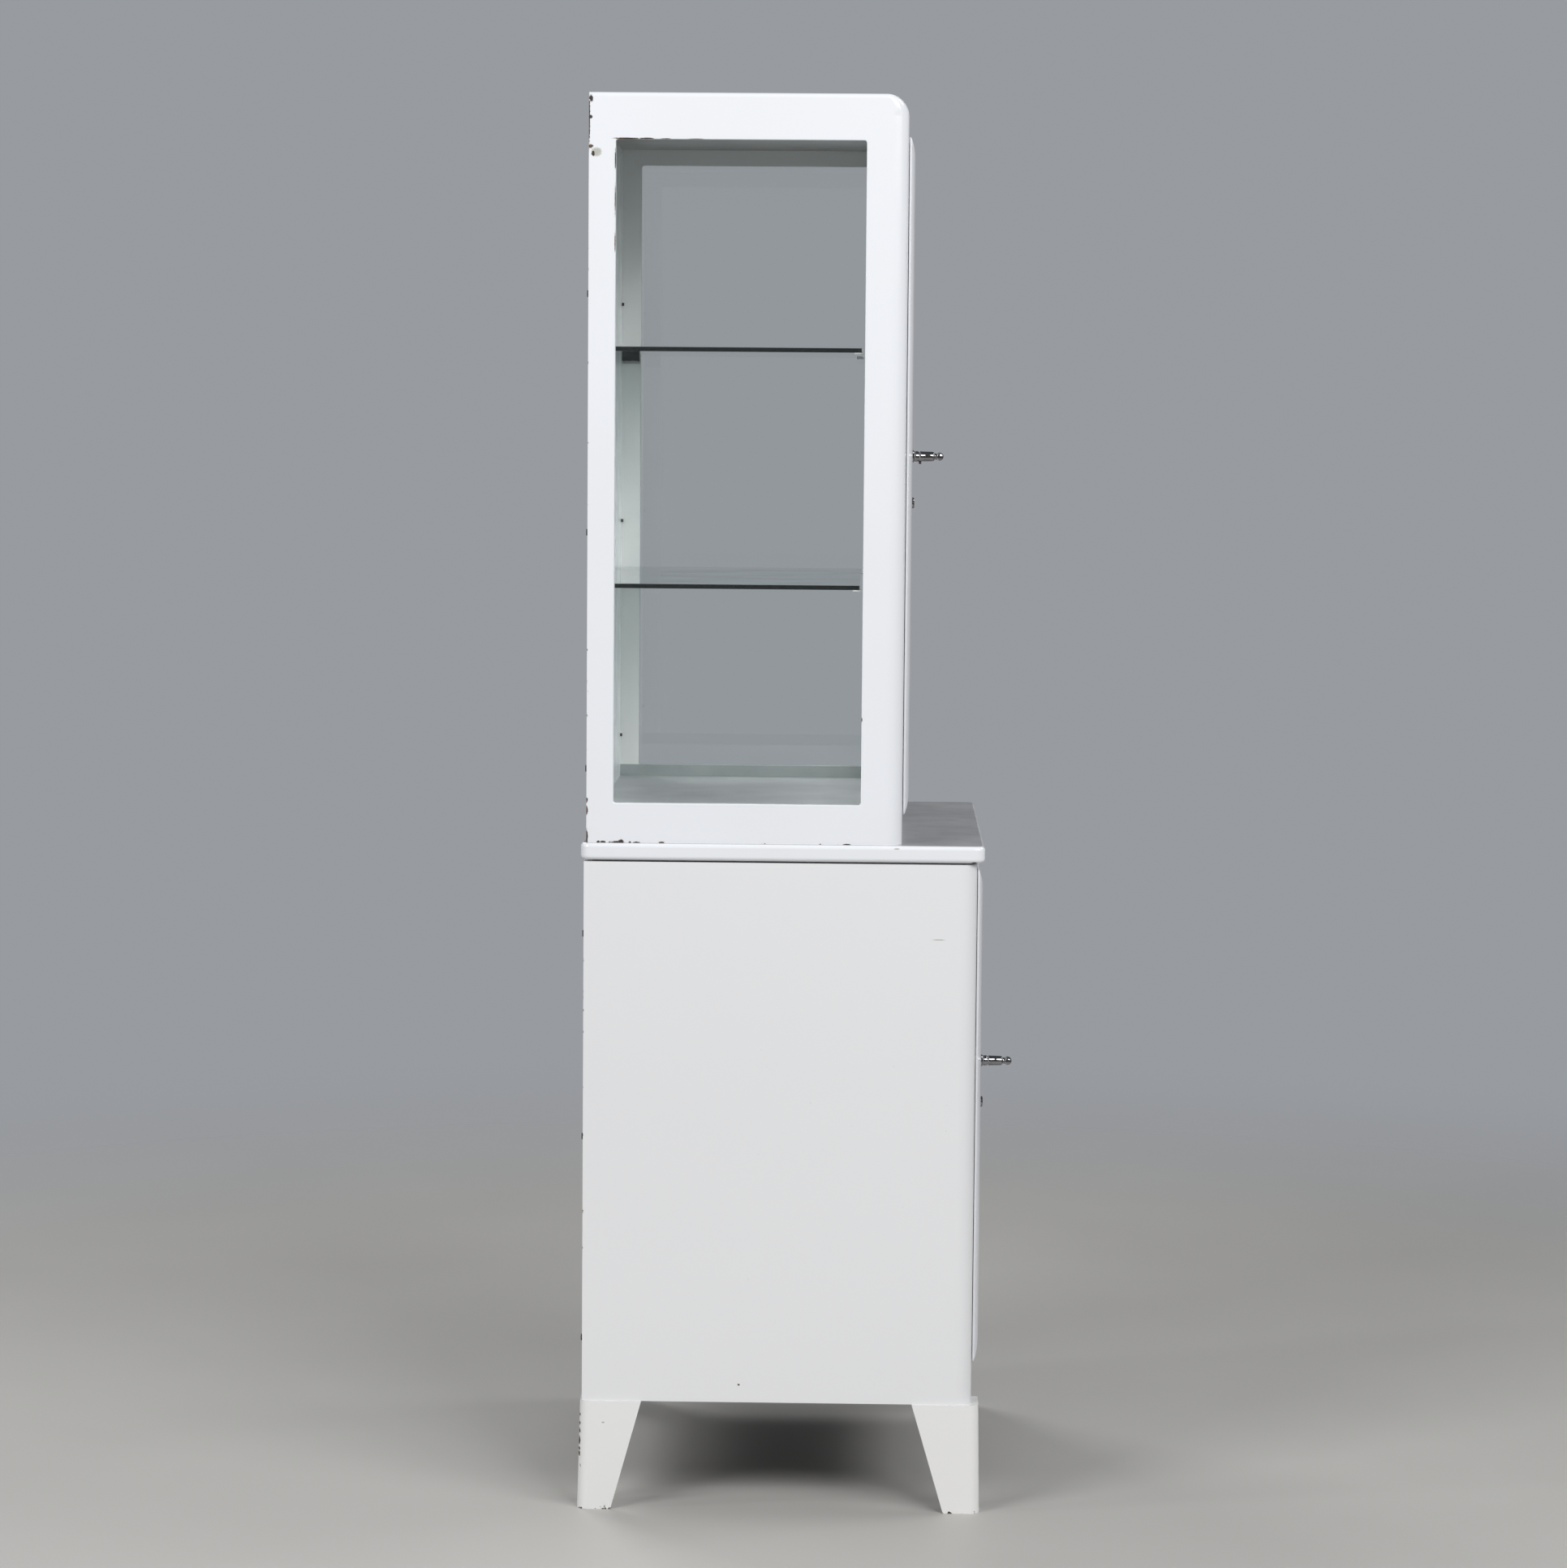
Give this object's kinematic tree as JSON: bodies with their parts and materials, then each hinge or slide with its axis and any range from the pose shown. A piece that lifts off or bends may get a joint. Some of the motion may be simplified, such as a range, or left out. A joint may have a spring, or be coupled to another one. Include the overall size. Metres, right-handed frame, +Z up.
{
  "type": "medical cabinet",
  "caption": "Free-standing enamelled steel medical cabinet: glazed upper case with glass shelves, set back on the worktop of a closed base, with hinged lockable doors and corner feet.",
  "frame": {"origin": "on the floor, at the middle of the cabinet's width and of its depth over the feet and the lower handle", "axes": "+Z up; the doors face -Y; +X is the hinge side of both doors, on the right as one stands in front of the cabinet"},
  "size_m": [0.55, 0.4978, 1.62],
  "materials": {
    "enamel": "glossy white enamel",
    "inner_enamel": "white enamel, less glossy",
    "pane_glass": "clear window glass",
    "shelf_glass": "clear glass with green edges",
    "chrome": "polished",
    "zinc_steel": "zinc plated",
    "rubber": "matt black"
  },
  "bodies": {
    "carcass": {"vitrine_left_side": "enamel", "vitrine_right_side": "enamel", "vitrine_left_post": "enamel", "vitrine_right_post": "enamel", "vitrine_roof": "enamel", "vitrine_top_rail": "enamel", "vitrine_low_rail": "enamel", "vitrine_back": "enamel", "worktop": "enamel", "base_left_side": "enamel", "base_right_side": "enamel", "base_left_post": "enamel", "base_right_post": "enamel", "base_top_rail": "enamel", "base_low_rail": "enamel", "base_back": "enamel", "front_left_foot": "enamel", "front_right_foot": "enamel", "rear_left_foot": "enamel", "rear_right_foot": "enamel", "vitrine_ceiling": "inner_enamel", "vitrine_floor": "inner_enamel", "left_glass_strips": "inner_enamel", "right_glass_strips": "inner_enamel", "shelf_brackets": "inner_enamel", "base_top": "inner_enamel", "base_floor": "inner_enamel", "base_shelf": "inner_enamel", "base_shelf_ledges": "inner_enamel", "left_side_glass": "pane_glass", "right_side_glass": "pane_glass", "lower_glass_shelf": "shelf_glass", "upper_glass_shelf": "shelf_glass", "frame_knuckles": "chrome", "hinge_pins": "chrome", "worktop_bolts": "zinc_steel", "foot_bolts": "zinc_steel", "back_screws": "zinc_steel", "strike_plates": "zinc_steel", "upper_shelf_sleeves": "rubber", "door_buffers": "rubber"},
    "upper_door": {"upper_door_frame": "enamel", "upper_door_liner": "inner_enamel", "upper_door_glass": "pane_glass", "upper_door_knuckles": "chrome", "upper_handle_rose": "chrome", "upper_lock_barrel": "chrome"},
    "lower_door": {"lower_door_skin": "enamel", "lower_door_liner": "inner_enamel", "lower_door_knuckles": "chrome", "lower_handle_rose": "chrome", "lower_lock_barrel": "chrome"},
    "upper_latch_set": {"upper_handle": "chrome", "upper_latch": "zinc_steel"},
    "lower_latch_set": {"lower_handle": "chrome", "lower_latch": "zinc_steel"},
    "upper_lock": {"upper_lock_rotor": "chrome"},
    "lower_lock": {"lower_lock_rotor": "chrome"}
  },
  "joints": [
    {"name": "upper_door_hinge", "type": "hinge", "parent": "carcass", "child": "upper_door", "pos_m": [0.2498, -0.12405, 1.19], "axis": [0, 0, 1], "range_deg": [0, 110]},
    {"name": "lower_door_hinge", "type": "hinge", "parent": "carcass", "child": "lower_door", "pos_m": [0.2528, -0.21055, 0.457], "axis": [0, 0, 1], "range_deg": [0, 110]},
    {"name": "upper_handle_turn", "type": "hinge", "parent": "upper_door", "child": "upper_latch_set", "pos_m": [-0.207, -0.13, 1.214], "axis": [0, 1, 0], "range_deg": [0, 90]},
    {"name": "lower_handle_turn", "type": "hinge", "parent": "lower_door", "child": "lower_latch_set", "pos_m": [-0.21, -0.22, 0.518], "axis": [0, 1, 0], "range_deg": [0, 90]},
    {"name": "upper_lock_turn", "type": "hinge", "parent": "upper_door", "child": "upper_lock", "pos_m": [-0.207, -0.12, 1.1608], "axis": [0, 1, 0], "range_deg": [0, 90]},
    {"name": "lower_lock_turn", "type": "hinge", "parent": "lower_door", "child": "lower_lock", "pos_m": [-0.21, -0.2, 0.47], "axis": [0, 1, 0], "range_deg": [0, 90]}
  ]
}
